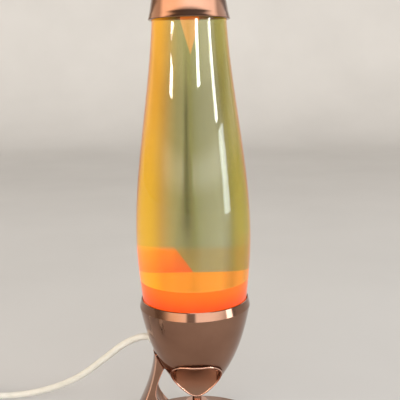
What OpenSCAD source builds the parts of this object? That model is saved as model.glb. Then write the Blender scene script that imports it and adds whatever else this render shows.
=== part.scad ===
// Liquid motion lamp: a tapered glass bottle of liquid and wax in a polished pod
// that hangs from one tail fin over a flared foot. Millimetres, +Z up.
// The origin is on the table, on the bottle's axis. The fin stands at -X and the scoop faces -Y.

/* [Bottle] */
// Radius of the glass at its belly
belly_r = 47.5; // [46:0.1:52]
// Height of the belly above the table
belly_h = 180; // [165:1:200]
// Radius of the glass where the cap meets it
bottle_top_r = 29.6; // [26:0.1:33]
// Radius of the glass where it enters the pod's rim
bottle_rim_r = 44; // [42:0.1:45]
// Thickness of the glass
glass_wall = 2.6; // [1.5:0.1:4]
// Radius of the bottle's neck
neck_r = 13.2; // [11:0.1:16]
// Length of the straight neck
neck_len = 18; // [14:1:24]
// Rise of the shoulder from the cap's edge to the neck
shoulder_h = 32; // [26:1:40]
// Radius of the ring that the bottle stands on
bottle_foot_r = 36; // [32:0.5:39]
// Rise of the hollow under the bottle
punt_h = 7; // [4:0.5:10]
// Height of the wax surface above the table
wax_h = 144; // [135:1:170]
// Radius of the wire ring that lies in the wax
wax_coil_r = 28; // [20:1:32]
// Thickness of that wire
wax_wire_d = 2; // [1:0.1:3]

/* [Cap] */
// Height of the cap's lower edge above the table
cap_edge_h = 354; // [340:1:370]
// Height of the cap
cap_h = 78; // [72:1:95]
// Radius of the cap's top
cap_top_r = 20; // [18:0.5:26]
// Thickness of the cap's sheet
cap_wall = 1.4; // [1:0.1:2.5]
// How far the rolled lip stands out
cap_lip = 1.2; // [0.6:0.1:2]
// Height of the rolled lip
cap_lip_h = 5; // [3:0.5:8]

/* [Pod] */
// Height of the pod's rim above the table
rim_h = 127.5; // [122:0.5:134]
// Largest radius of the pod, just below its bevelled rim
pod_r = 46.6; // [46.5:0.1:52]
// Height of the bevel on the rim
rim_bevel_h = 7; // [4:0.5:9]
// Height of the pod's lowest point above the table
pod_tip_h = 39; // [37:0.5:42]
// Thickness of the pod's wall
pod_wall = 2.4; // [1.8:0.1:3]
// Radius of the scoop in the pod's front
scoop_r = 39; // [36:0.5:40]
// Distance of the scoop's axis in front of the bottle's axis
scoop_out = 47; // [46:0.5:49]
// Height of the scoop's axis
scoop_h = 43; // [41:0.5:46]
// Height of the scoop's upper edge
scoop_top_h = 76.5; // [74:0.5:79]
// Width of the scoop's opening
scoop_w = 43; // [40:0.5:50]
// Radius of the opening's upper corners
scoop_corner = 13; // [8:0.5:18]
// Depth below the rim of the ledge that carries the bottle
ledge_drop = 18.5; // [17.5:0.5:20.5]
// Thickness of the rubber ring on the ledge
seat_t = 2.6; // [2:0.1:3.5]

/* [Fin and foot] */
// Angle that the fin spans round the axis
fin_span = 42; // [30:1:60]
// Height where the fin leaves the pod's side
fin_top_h = 80; // [76:1:86]
// Radius of the fin's back edge near the table
fin_toe_r = 64; // [60:0.5:64.5]
// Radius of the foot
foot_r = 66; // [65:0.5:75]
// Height of the foot's top
foot_top_h = 32; // [30:0.5:35]
// Radius of the flat on the foot's top
foot_top_r = 9; // [8:0.5:12]
// Thickness of the foot's sheet
foot_wall = 2.5; // [2:0.1:3]
// Thickness of the foot's outer edge
foot_edge = 3; // [2.5:0.1:4]
// Thickness of the cover plate under the foot
cover_t = 1.5; // [1:0.1:2]
// Thickness of the felt ring that touches the table
pad_t = 1.5; // [1:0.1:2]
// Diameter of the stud through the foot and the pod
stud_d = 4; // [3:0.5:4.5]

/* [Bulb] */
// Height of the plate that carries the bulb holder
plate_h = 62; // [61:0.5:63]
// Radius of the bulb holder
holder_r = 8.5; // [8:0.1:9.5]
// Height of the bulb holder
holder_h = 14; // [12:0.5:15]
// Radius of the capsule bulb
bulb_r = 6.6; // [5.5:0.1:7.5]
// Length of the capsule bulb
bulb_len = 26; // [22:0.5:27]
// Distance between the bulb's two pins
pin_pitch = 9; // [8:0.5:10]
// Length of the bulb's pins
pin_len = 6; // [5:0.5:7]

/* [Cord] */
// Diameter of the cord
cord_d = 6; // [5:0.1:6.2]
// Radius of the coil's innermost turn
coil_r_in = 25; // [24:0.5:30]
// Turns in each of the coil's two layers
coil_turns = 3.125; // [2.125:1:4.125]
// Gap between neighbouring turns
coil_gap = 0.6; // [0.5:0.1:1.5]

/* [Switch and plug] */
// Length of the cord switch
switch_len = 56; // [50:1:70]
// Width of the cord switch
switch_w = 25; // [22:1:30]
// Height of the cord switch
switch_ht = 17; // [15:0.5:20]
// Length of the rocker
rocker_len = 20; // [16:0.5:24]
// Width of the rocker
rocker_w = 11; // [9:0.5:13]
// Length of the plug's body
plug_len = 36; // [32:1:42]
// Width of the plug's body
plug_w = 27; // [25:1:30]
// Thickness of the plug's body
plug_t = 13.6; // [12.5:0.1:15]
// Distance between the plug's two pins
plug_pitch = 18.6; // [17:0.1:19]
// Length of the plug's pins
plug_pin_len = 19; // [17:0.5:20]

/* [Fits] */
// Clearance between pieces that move apart
clear = 0.3; // [0.3:0.05:0.5]
// Seam between pieces that are fixed together
seam = 0.15; // [0.1:0.05:0.25]

/* [Hidden] */
$fn = 96;
eps = 0.01;
copper = [0.55, 0.36, 0.28];
off_white = [0.92, 0.91, 0.86];
steel = [0.72, 0.72, 0.74];

// A smooth curve r(z) through two ends with given slopes, and a list of [r, z] along it
function bend(a, b, z) =
    let (len = b[1] - a[1], t = (z - a[1]) / len, u = 1 - t)
    a[0] * u * u * (1 + 2 * t) + b[0] * t * t * (3 - 2 * t)
    + len * (a[2] * t * u * u - b[2] * t * t * u);
function along(a, b, steps, first = 0) =
    [for (i = [first : steps]) let (z = a[1] + (b[1] - a[1]) * i / steps) [bend(a, b, z), z]];
function shift(line, dr, dz = 0) = [for (p = line) [p[0] + dr, p[1] + dz]];
function flip(line) = [for (i = [len(line) - 1 : -1 : 0]) line[i]];

// Bottle: stations are [radius, height, slope of the radius]
ledge_h = rim_h - ledge_drop;
bottle_seat = ledge_h + seat_t + clear;
bottle_rim = [bottle_rim_r, rim_h, 0.1];
bottle_belly = [belly_r, belly_h, 0];
bottle_top = [bottle_top_r, cap_edge_h, -0.06];
heel_bulge = 18;
heel_low = [bottle_foot_r, bottle_seat, heel_bulge / (rim_h - bottle_seat)];
neck_base_h = cap_edge_h + shoulder_h;
neck_base = [neck_r, neck_base_h, -0.05];
neck_top_h = neck_base_h + neck_len;
heel_line = along(heel_low, bottle_rim, 6);
belly_line = concat(along(bottle_rim, bottle_belly, 8, 1), along(bottle_belly, bottle_top, 24, 1));
shoulder_line = along(bottle_top, neck_base, 16, 1);
glass_line = concat(heel_line, belly_line, shoulder_line, [[neck_r, neck_top_h]]);
punt_r = bottle_foot_r - 5;
inside_floor_h = bottle_seat + punt_h + glass_wall;
fill_gap = glass_wall + seam;
liquid_level = neck_base_h - 4;
fill_steps = 64;
wax_low_h = inside_floor_h + seam;

function glass_r(z) =
    z < rim_h ? bend(heel_low, bottle_rim, z)
    : z < belly_h ? bend(bottle_rim, bottle_belly, z)
    : z < cap_edge_h ? bend(bottle_belly, bottle_top, z) : bend(bottle_top, neck_base, z);
function fill_line(low, high, steps) =
    [for (i = [0 : steps]) let (z = low + (high - low) * i / steps) [glass_r(z) - fill_gap, z]];

// Cap
cap_foot_r = bottle_top_r + clear + cap_wall;
cap_top_h = cap_edge_h + cap_h;
cap_round = 6;
stopper_r = neck_r + 2.6;
stopper_top_h = neck_top_h + 1.2;
cap_pad_r = cap_top_r - cap_round - 1;

// Pod
pod_tip_r = 6;
pod_tip_cut = 1;
pod_low = [pod_tip_r, pod_tip_h - pod_tip_cut, 1.05];
pod_wide = [pod_r, rim_h - rim_bevel_h, 0.2];
pod_steps = 20;
rim_slack = 0.2;
rim_edge_t = 0.8;
rim_bore_r = bottle_rim_r + clear + rim_slack;
rim_edge_r = rim_bore_r + rim_edge_t;
pod_floor_t = 5;
pod_floor_h = pod_tip_h + pod_floor_t;
pod_inside = 1.35 * pod_wall;
ledge_t = 2;
ledge_in_r = punt_r + 2;
bore_low_r = bend(pod_low, pod_wide, ledge_h) - pod_inside;
stud_y = 1;
boss_x = 13;
boss_y = 6;
boss_r = 3.2;
screw_r = 1.2;
head_r = 2.3;
head_t = 1.4;
plate_t = 1.2;
plate_screw_len = 5;
plate_r = bend(pod_low, pod_wide, plate_h) - pod_inside - clear;

// Bulb
holder_low = plate_h + plate_t;
holder_top = holder_low + holder_h;
pin_r = 0.6;
bulb_low = holder_top + clear;

// Foot and fin
foot_low = pad_t - 0.5;
foot_rim = [foot_r - 2, foot_low + foot_edge, 0.1];
cover_r = foot_r - 7;
cover_low = pad_t;
pad_w = 13;
ballast_gap = 2;
ballast_out_r = cover_r - pad_w - ballast_gap;
ballast_t = 8;
// The foot's flare from its rim to its flat top, and how hard each end pulls on its height
flare_run = foot_rim[0] - foot_top_r;
flare_low_pull = 6.6;
flare_top_pull = 71.5;
// The screws stand at these shares of the flare, counted from the rim
cover_screw_share = 34 / 55;
fin_screw_shares = [7 / 11, 1 / 2];
cover_screw_at = foot_rim[0] - cover_screw_share * flare_run;
fin_screw_r = [for (share = fin_screw_shares) foot_rim[0] - share * flare_run];
fin_screw_len = 11;
ballast_in_r = cover_screw_at - 10;
cover_screw_turns = [0, 120, 240];
flare_steps = 16;
fin_outer_low = [fin_toe_r, 4, -0.5];
fin_outer_top = [bend(pod_low, pod_wide, fin_top_h) + 0.8, fin_top_h, -0.03];
fin_inner_top = [29, 66, -0.5];
fin_inner_mid = [36.5, 44, 0];
fin_inner_low = [27, 29, 1.2];
nut_r = stud_d;
nut_t = 0.8 * stud_d;

// Cord: its route leaves the pod at the left, comes down to the table and runs through the
// switch to the coil. Points are [x, y, z].
exit_h = 89;
exit_turn = 8;
pod_exit_r = bend(pod_low, pod_wide, exit_h);
grommet_out = 1.6;
switch_at = [-234, 63];
switch_mid = switch_ht / 2;
pivot_h = switch_ht - 2;
pivot_r = 1.2;
coil_at = [-252, -6];
tie_t = 0.8;
coil_low = cord_d / 2 + tie_t + 0.3;
coil_pitch = cord_d + coil_gap;
coil_r_out = coil_r_in + coil_turns * coil_pitch;
exit_dir = [-cos(exit_turn), sin(exit_turn), 0];
cord_start = [0, 0, exit_h] + (pod_exit_r + grommet_out) * exit_dir;
switch_in = [switch_at[0] + switch_len / 2, switch_at[1], switch_mid];
switch_out = [switch_at[0] - switch_len / 2, switch_at[1], switch_mid];
cord_route = [
    cord_start, cord_start + cord_d * exit_dir, [-56, 10, 84.5], [-66, 13, 78], [-76, 17, 69],
    [-86, 22, 60], [-97, 27, 50], [-108, 33, 41], [-120, 39, 33], [-132, 45, 26], [-145, 50.5, 20],
    [-158, 55.5, 15], [-171, 59.5, 11.5], [-184, 62, 9.4], switch_in + [8, 0, 0.2], switch_in
];
run_turn = 30;
coil_in = [coil_at[0] - coil_r_out, coil_at[1], coil_low];
coil_out = [coil_at[0], coil_at[1] - coil_r_out, coil_low + coil_pitch];
turn_at = [coil_in[0] + run_turn, switch_at[1] - run_turn];
run_drop = switch_mid - coil_low;
cord_run_route = concat(
    [switch_out, switch_out + [-cord_d, 0, 0]],
    [for (i = [0 : 6]) let (a = 90 + 15 * i)
        [turn_at[0] + run_turn * cos(a), turn_at[1] + run_turn * sin(a),
            coil_low + run_drop * (0.9 - 0.12 * i)]],
    [coil_in + [0, 22, 0.4], coil_in + [0, cord_d, 0]]
);
plug_mid = plug_t / 2;
plug_gap = 52;
plug_at = [coil_at[0] + plug_gap, coil_out[1], plug_mid];
cord_tail_route = [
    coil_out + [cord_d, 0, 0], coil_out + [16, 0, 0], coil_out + [26, 0, -0.8],
    plug_at + [-16, 0, 0.8], plug_at + [-cord_d, 0, 0], plug_at
];

// Coil: inwards on the table, up a layer in the half turn where the spiral reverses, outwards on top
loop_rings = 24;
coil_rings = round(2 * coil_turns * loop_rings);
function ease(t) = t < 0 ? 0 : t > 1 ? 1 : t * t * (3 - 2 * t);
function coil_point(turn) =
    let (back = abs(turn - coil_turns), a = 180 + 360 * turn,
        r = coil_r_in + coil_pitch * back, up = ease(2 * (turn - coil_turns) + 0.5))
    [coil_at[0] + r * cos(a), coil_at[1] + r * sin(a), coil_low + coil_pitch * up];
coil_route = concat(
    [coil_in + [0, cord_d, 0]],
    [for (i = [0 : coil_rings]) coil_point(i / loop_rings)],
    [coil_out + [cord_d, 0, 0]]
);
coil_skip = 8;
coil_least_gap = min([
    for (i = [0 : len(coil_route) - 1]) for (j = [i + coil_skip : 1 : len(coil_route) - 1])
        norm(coil_route[i] - coil_route[j])
]) - cord_d;
echo(coil_least_gap = coil_least_gap);

function route_len(p) = len(p) < 2 ? 0
    : norm(p[1] - p[0]) + route_len([for (i = [1 : len(p) - 1]) p[i]]);
echo(cord_m = [for (p = [cord_route, cord_run_route, coil_route, cord_tail_route]) route_len(p) / 1000]);

// A tube swept along points, with its rings square to the route and closed flat ends
function unit(v) = v / norm(v);
function heading(p, i) =
    unit(p[min(i + 1, len(p) - 1)] - p[max(i - 1, 0)]);
module tube(p, d, sides) {
    rings = [for (i = [0 : len(p) - 1])
        let (h = heading(p, i), aside = abs(h[2]) > 0.9 ? [0, 1, 0] : [0, 0, 1],
            side = unit(cross(aside, h)), up = cross(h, side))
        for (k = [0 : sides - 1]) let (a = 360 * k / sides + 180 / sides)
            p[i] + d / 2 * (cos(a) * side + sin(a) * up)];
    last = (len(p) - 1) * sides;
    walls = [for (i = [0 : len(p) - 2]) for (k = [0 : sides - 1])
        let (m = (k + 1) % sides, lo = i * sides, hi = lo + sides)
        for (f = [[lo + k, hi + k, hi + m], [lo + k, hi + m, lo + m]]) f];
    near_end = [for (k = [1 : sides - 2]) [0, k, k + 1]];
    far_end = [for (k = [1 : sides - 2]) [last, last + k + 1, last + k]];
    polyhedron(rings, concat(walls, near_end, far_end));
}
module at_exit() {
    translate([0, 0, exit_h]) rotate([0, 0, 180 - exit_turn]) rotate([0, 90, 0]) children();
}
module round_box(size, r) {
    linear_extrude(size[2]) offset(r, $fn = 32) square([size[0] - 2 * r, size[1] - 2 * r], center = true);
}
module ring(r_out, r_in, h) {
    difference() {
        cylinder(r = r_out, h = h);
        translate([0, 0, -eps]) cylinder(r = r_in, h = h + 2 * eps);
    }
}

// Cap and bottle
module crown_cap() {
    outer = [
        [cap_foot_r + cap_lip, cap_edge_h], [cap_foot_r + cap_lip, cap_edge_h + cap_lip_h - 1],
        [cap_foot_r + cap_lip - 1, cap_edge_h + cap_lip_h], [cap_foot_r - 0.2, cap_edge_h + cap_lip_h]
    ];
    crown = [for (a = [0 : 15 : 90])
        [cap_top_r - cap_round + cap_round * cos(a), cap_top_h - cap_round + cap_round * sin(a)]];
    inner_crown = [[0, cap_top_h - cap_wall], [cap_top_r - cap_round, cap_top_h - cap_wall],
        [cap_top_r - cap_wall - 0.4, cap_top_h - cap_round]];
    color(copper) rotate_extrude() polygon(concat(
        outer, crown, [[0, cap_top_h]], inner_crown, [[cap_foot_r - cap_wall, cap_edge_h + cap_lip_h],
        [cap_foot_r - cap_wall, cap_edge_h]]
    ));
}
module cap_pad() {
    low = stopper_top_h + clear;
    color(off_white) translate([0, 0, low]) cylinder(r = cap_pad_r, h = cap_top_h - cap_wall - seam - low);
}
module bottle_glass() {
    inner = fill_line(inside_floor_h + 4, neck_base_h, fill_steps);
    hollow = concat([[0, inside_floor_h], [punt_r, inside_floor_h]], shift(inner, seam),
        [[neck_r - glass_wall, neck_top_h]]);
    punt_top = bottle_seat + punt_h;
    punt = [[punt_r, bottle_seat], [punt_r - 2, punt_top - 2], [punt_r - 6, punt_top], [0, punt_top]];
    color([0.9, 0.9, 0.85, 0.4]) rotate_extrude() polygon(concat(glass_line, flip(hollow), flip(punt)));
}
module bottle_stopper() {
    skirt = 5;
    color(steel) difference() {
        translate([0, 0, neck_top_h - skirt])
            cylinder(r = stopper_r, h = skirt + stopper_top_h - neck_top_h);
        translate([0, 0, neck_top_h - skirt - eps]) cylinder(r = neck_r + seam, h = skirt + seam);
    }
}
module liquid() {
    side = shift(fill_line(wax_h + seam, liquid_level, fill_steps), -seam);
    color([0.85, 0.75, 0.2, 0.5]) rotate_extrude()
        polygon(concat([[0, wax_h + seam]], side, [[0, liquid_level]]));
}
module wax() {
    side = fill_line(inside_floor_h + 4, wax_h, 8);
    color([1, 0.45, 0.05]) difference() {
        rotate_extrude() polygon(concat([[0, wax_low_h], [punt_r, wax_low_h]], side, [[0, wax_h]]));
        wax_ring(wax_wire_d / 2 + seam);
    }
}
module wax_ring(r) {
    translate([0, 0, inside_floor_h + 6]) rotate_extrude() translate([wax_coil_r, 0]) circle(r, $fn = 24);
}
module wax_coil() { color(steel) wax_ring(wax_wire_d / 2); }

// Pod
module pod_body(grow, low_h) {
    side = shift(along(pod_low, pod_wide, pod_steps, 1), grow);
    start = bend(pod_low, pod_wide, low_h) + grow;
    kept = [for (p = side) if (p[1] > low_h) p];
    rim = [[rim_edge_r + grow, rim_h], [0, rim_h]];
    rotate_extrude() polygon(concat([[0, low_h], [start, low_h]], kept, rim));
}
module scoop(grow) {
    top = scoop_top_h + grow;
    wide = scoop_w + 2 * grow;
    corner = scoop_corner + grow;
    intersection() {
        translate([0, -scoop_out, scoop_h]) rotate([0, 90, 0])
            cylinder(r = scoop_r + grow, h = 4 * pod_r, center = true);
        union() {
            translate([-wide / 2, -2 * pod_r, 0]) cube([wide, 4 * pod_r, top - corner]);
            translate([corner - wide / 2, -2 * pod_r, 0]) cube([wide - 2 * corner, 4 * pod_r, top]);
            for (s = [-1, 1]) translate([s * (wide / 2 - corner), 0, top - corner]) rotate([90, 0, 0])
                cylinder(r = corner, h = 4 * pod_r, center = true);
        }
    }
}
module pod_hollow() {
    difference() {
        pod_body(-pod_inside, pod_floor_h);
        scoop(pod_wall);
        for (s = [-1, 1]) translate([s * boss_x, boss_y, pod_floor_h])
            cylinder(r = boss_r, h = plate_h - pod_floor_h);
    }
}
module pod_shell() {
    color(copper) difference() {
        pod_body(0, pod_tip_h);
        scoop(0);
        pod_hollow();
        translate([0, 0, ledge_h]) cylinder(r1 = bore_low_r, r2 = rim_bore_r, h = rim_h - ledge_h);
        translate([0, 0, rim_h - eps]) cylinder(r = rim_bore_r, h = 1);
        translate([0, stud_y, 0]) cylinder(r = stud_d / 2 + seam, h = plate_h);
        at_exit() cylinder(r = cord_d / 2 + 1 + seam, h = pod_r + 5);
        for (s = [-1, 1]) translate([s * boss_x, boss_y, plate_h - plate_screw_len - 1])
            cylinder(r = screw_r + seam, h = plate_screw_len + 2);
    }
}
module bottle_ledge() {
    low = ledge_h - ledge_t;
    low_r = bend(pod_low, pod_wide, low) - pod_inside - seam;
    color(steel) difference() {
        translate([0, 0, low]) cylinder(r1 = low_r, r2 = bore_low_r - seam, h = ledge_t);
        translate([0, 0, low - 1]) cylinder(r = ledge_in_r, h = ledge_t + 2);
    }
}
module seat_ring() {
    color([0.12, 0.12, 0.12]) translate([0, 0, ledge_h]) ring(bore_low_r - 0.5, ledge_in_r + 1, seat_t);
}
module holder_plate() {
    color(steel) difference() {
        translate([0, 0, plate_h]) cylinder(r = plate_r, h = plate_t);
        scoop(pod_wall + clear);
        for (s = [-1, 1]) translate([s * boss_x, boss_y, plate_h - 1])
            cylinder(r = screw_r + seam, h = plate_t + 2);
    }
}
module plate_screws() {
    color(steel) for (s = [-1, 1]) translate([s * boss_x, boss_y, plate_h - plate_screw_len]) {
        cylinder(r = screw_r, h = plate_t + plate_screw_len);
        translate([0, 0, plate_t + plate_screw_len]) cylinder(r = head_r, h = head_t);
    }
}
module bulb_holder() {
    color(off_white) difference() {
        translate([0, 0, holder_low]) cylinder(r = holder_r, h = holder_h);
        for (s = [-1, 1]) translate([s * pin_pitch / 2, 0, holder_top - pin_len - 2])
            cylinder(r = pin_r + clear + 0.1, h = pin_len + 3);
    }
}
module bulb_capsule() {
    color([0.95, 0.95, 0.9, 0.4]) translate([0, 0, bulb_low]) {
        cylinder(r = bulb_r, h = bulb_len - bulb_r);
        translate([0, 0, bulb_len - bulb_r]) sphere(bulb_r);
    }
}
module bulb_pins() {
    color(steel) for (s = [-1, 1]) translate([s * pin_pitch / 2, 0, bulb_low - pin_len])
        cylinder(r = pin_r, h = pin_len);
}
module inner_leads() {
    lead_d = 2.2;
    from = [0, 0, exit_h] + (pod_exit_r - 24) * exit_dir;
    to_r = holder_r + seam + lead_d / 2;
    color([0.8, 0.75, 0.6]) for (s = [-1, 1])
        tube([from + [0, 1.5 * s, 0], from + [3, 1.6 * s, -1.5], [-to_r - 2, 2.4 * s, exit_h - 8],
            [-to_r, 2.6 * s, exit_h - 14], [-to_r, 2.6 * s, holder_low + 3]], lead_d, 8);
}
module cord_grommet() {
    inside = 18;
    flange_r = cord_d / 2 + 1.8;
    color(off_white) difference() {
        union() {
            difference() {
                at_exit() translate([0, 0, pod_exit_r - flange_r])
                    cylinder(r = flange_r, h = flange_r + grommet_out);
                pod_body(seam, pod_tip_h);
            }
            at_exit() translate([0, 0, pod_exit_r - inside])
                cylinder(r1 = cord_d / 2 + 0.5, r2 = cord_d / 2 + 1, h = inside + 1);
        }
        at_exit() translate([0, 0, pod_exit_r - inside - 1]) cylinder(r = cord_d / 2 - 1, h = inside + 5);
    }
}

// Fin and foot
module foot_body(grow) {
    rotate_extrude() polygon(concat(
        [[0, foot_low], [foot_r + grow, foot_low], [foot_r + grow, foot_low + foot_edge - 1 + grow],
            [foot_r - 1 + grow, foot_low + foot_edge + grow]],
        [for (i = [0 : flare_steps]) foot_point(i / flare_steps, grow)], [[0, foot_top_h + grow]]
    ));
}
// The foot's flare, from its rim in and up to its flat top
function foot_point(t, grow) =
    let (r = foot_rim[0] - flare_run * t, u = 1 - t)
    [r + grow, foot_rim[1] * u * u * (1 + 2 * t) + foot_top_h * t * t * (3 - 2 * t)
        + flare_low_pull * t * u * u - flare_top_pull * t * t * u + grow];
module tail_fin() {
    outer = along(fin_outer_low, fin_outer_top, 14);
    inner = concat(along(fin_inner_low, fin_inner_mid, 6), along(fin_inner_mid, fin_inner_top, 6, 1));
    color(copper) difference() {
        rotate([0, 0, 180 - fin_span / 2]) rotate_extrude(angle = fin_span)
            polygon(concat([[foot_top_r + 6, fin_outer_low[1]]], outer, [[20, fin_top_h]], flip(inner)));
        pod_body(seam, pod_tip_h);
        foot_body(seam);
        for (r = fin_screw_r) translate([-r, 0, 0])
            cylinder(r = screw_r + seam, h = fin_screw_low(r) + fin_screw_len + 1);
    }
}
// Height of the seat of a screw's head under the foot's sheet
function fin_screw_low(r) =
    foot_point((foot_rim[0] - r) / flare_run, 0)[1] - foot_wall - 1.5;
module fin_screws() {
    color(steel) for (r = fin_screw_r) translate([-r, 0, 0]) {
        low = fin_screw_low(r);
        translate([0, 0, low]) cylinder(r = screw_r, h = fin_screw_len);
        translate([0, 0, low - head_t]) cylinder(r = head_r, h = head_t);
    }
}
module foot_dome() {
    color(copper) difference() {
        foot_body(0);
        difference() {
            translate([0, 0, -foot_wall]) foot_body(-foot_wall / 2);
            translate([0, 0, foot_top_h - 2 * foot_wall]) cylinder(r = foot_top_r, h = foot_wall);
        }
        translate([0, 0, foot_low - eps])
            cylinder(r = cover_r + seam, h = cover_low + cover_t - foot_low + eps);
        translate([0, stud_y, 0]) cylinder(r = stud_d / 2 + seam, h = foot_top_h + 1);
        for (r = fin_screw_r) translate([-r, 0, 0]) {
            cylinder(r = screw_r + seam, h = foot_top_h);
            cylinder(r = head_r + seam, h = fin_screw_low(r) + seam);
        }
    }
}
module stud() {
    low = foot_top_h - foot_wall - nut_t - 5;
    color(steel) translate([0, stud_y, low]) cylinder(d = stud_d, h = pod_floor_h + nut_t + 2 - low);
}
module stud_nuts() {
    lower = foot_top_h - 2 * foot_wall - nut_t;
    color(steel) for (z = [pod_floor_h, lower]) translate([0, stud_y, z]) difference() {
        cylinder(r = nut_r, h = nut_t, $fn = 6);
        translate([0, 0, -1]) cylinder(r = stud_d / 2 + seam, h = nut_t + 2);
    }
}
module stud_collar() {
    color(copper) translate([0, stud_y, foot_top_h])
        ring(stud_d / 2 + 2, stud_d / 2 + seam, pod_tip_h - foot_top_h);
}
module ballast_ring() {
    low = cover_low + cover_t;
    color([0.25, 0.25, 0.27]) difference() {
        translate([0, 0, low]) ring(ballast_out_r, ballast_in_r, ballast_t);
        foot_room();
        for (r = fin_screw_r) translate([-r, 0, low - 1]) cylinder(r = head_r + 1.7, h = ballast_t + 4);
        cover_holes(screw_r + seam);
    }
}
// What lies above the foot's inner wall, so that the ballast follows it
module foot_room() {
    difference() {
        translate([0, 0, foot_low]) cylinder(r = foot_r, h = foot_top_h);
        translate([0, 0, -foot_wall - seam]) foot_body(-foot_wall / 2 - seam);
    }
}
module cover_holes(r) {
    top = cover_low + cover_t + ballast_t + 1;
    for (a = cover_screw_turns) rotate([0, 0, a]) translate([cover_screw_at, 0, 0]) cylinder(r = r, h = top);
}
module base_cover() {
    color([0.15, 0.15, 0.15]) difference() {
        translate([0, 0, cover_low]) cylinder(r = cover_r, h = cover_t);
        cover_holes(screw_r + seam);
    }
}
module cover_screws() {
    color(steel) for (a = cover_screw_turns) rotate([0, 0, a]) translate([cover_screw_at, 0, cover_low]) {
        cylinder(r = screw_r, h = cover_t + ballast_t - 3.5);
        translate([0, 0, -1]) cylinder(r = head_r, h = 1);
    }
}
module foot_pad() {
    color([0.1, 0.1, 0.1]) ring(cover_r - 1, cover_r - 1 - pad_w, pad_t);
}

// Cord, switch and plug
module cord() { color(off_white) tube(cord_route, cord_d, 12); }
module cord_run() { color(off_white) tube(cord_run_route, cord_d, 12); }
module cord_coil() { color(off_white) tube(coil_route, cord_d, 8); }
module cord_tail() { color(off_white) tube(cord_tail_route, cord_d, 12); }
module coil_tie() {
    slack = 0.9;
    near_r = coil_r_in + 0.375 * coil_pitch - cord_d / 2 - slack;
    far_r = coil_r_in + (coil_turns - 0.5) * coil_pitch + cord_d / 2 + slack;
    inner_h = coil_pitch + cord_d + 0.6;
    color([0.15, 0.15, 0.15]) translate([coil_at[0] + near_r, coil_at[1] - 4, coil_low - cord_d / 2 - 0.3])
        difference() {
            translate([-tie_t, 0, -tie_t]) cube([far_r - near_r + 2 * tie_t, 8, inner_h + 2 * tie_t]);
            translate([0, -1, 0]) cube([far_r - near_r, 10, inner_h]);
        }
}
module switch_case() {
    translate([switch_at[0], switch_at[1], 0]) difference() {
        round_box([switch_len, switch_w, switch_ht], 7);
        translate([0, 0, 2]) round_box([switch_len - 4, switch_w - 4, switch_ht - 4], 5);
    }
}
module rocker_hole() {
    translate([switch_at[0] - rocker_len / 2 - 1, switch_at[1] - rocker_w / 2 - 0.5, switch_mid])
        cube([rocker_len + 2, rocker_w + 1, switch_ht]);
}
module rocker_pivot(r, wide) {
    translate([switch_at[0], switch_at[1], pivot_h]) rotate([90, 0, 0])
        cylinder(r = r, h = wide, center = true);
}
module switch_bolt(r) {
    for (s = [-1, 1]) translate([switch_at[0] + s * (switch_len / 2 - 10), switch_at[1], 0])
        cylinder(r = r, h = switch_ht - 3);
}
module cord_way() {
    translate([switch_at[0], switch_at[1], switch_mid]) rotate([0, 90, 0])
        cylinder(d = cord_d - 2, h = switch_len + 2, center = true);
}
module switch_base() {
    color(off_white) difference() {
        switch_case();
        cord_way();
        translate([switch_at[0], switch_at[1], switch_mid - seam / 2])
            translate([-switch_len, -switch_w, 0]) cube([2 * switch_len, 2 * switch_w, switch_ht]);
        switch_bolt(screw_r + seam);
    }
}
module switch_cover() {
    color(off_white) difference() {
        switch_case();
        cord_way();
        translate([switch_at[0], switch_at[1], switch_mid + seam / 2])
            translate([-switch_len, -switch_w, -switch_ht]) cube([2 * switch_len, 2 * switch_w, switch_ht]);
        rocker_hole();
        rocker_pivot(pivot_r + clear, rocker_w + 5);
    }
}
module switch_screws() {
    color(steel) for (s = [-1, 1]) translate([switch_at[0] + s * (switch_len / 2 - 10), switch_at[1], 0.3])
        cylinder(r = screw_r, h = switch_ht - 2 - seam - 0.3);
}
module switch_rocker() {
    tilt = 6;
    drop = rocker_len / 2 * sin(tilt);
    color([0.85, 0.84, 0.8]) {
        rocker_pivot(pivot_r, rocker_w + 4);
        translate([switch_at[0], switch_at[1], pivot_h]) rotate([0, tilt, 0]) rotate([90, 0, 0])
            linear_extrude(rocker_w, center = true)
            polygon([[-rocker_len / 2, 0.5], [0, 2.2 - drop], [rocker_len / 2, 0.5],
                [rocker_len / 2 - 1, -3], [-rocker_len / 2 + 1, -3]]);
    }
}
module plug_body() {
    nose = 10;
    color(off_white) translate(plug_at) difference() {
        hull() {
            translate([nose, 0, -plug_t / 2]) linear_extrude(plug_t) offset(4, $fn = 32)
                translate([0, -plug_w / 2 + 4]) square([plug_len - nose - 4, plug_w - 8]);
            rotate([0, 90, 0]) cylinder(d = cord_d + 3, h = 1, $fn = 32);
        }
        translate([-1, 0, 0]) rotate([0, 90, 0]) cylinder(d = cord_d - 2, h = nose);
        for (s = [-1, 1]) translate([plug_len - 8, s * plug_pitch / 2, 0]) rotate([0, 90, 0])
            cylinder(r = 2 + seam, h = 10);
    }
}
module plug_pins() {
    color(steel) for (s = [-1, 1]) translate(plug_at + [plug_len - 8 + seam, s * plug_pitch / 2, 0])
        rotate([0, 90, 0]) {
            cylinder(r = 2, h = plug_pin_len + 6);
            translate([0, 0, plug_pin_len + 6]) cylinder(r1 = 2, r2 = 1.2, h = 1);
        }
}

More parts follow.
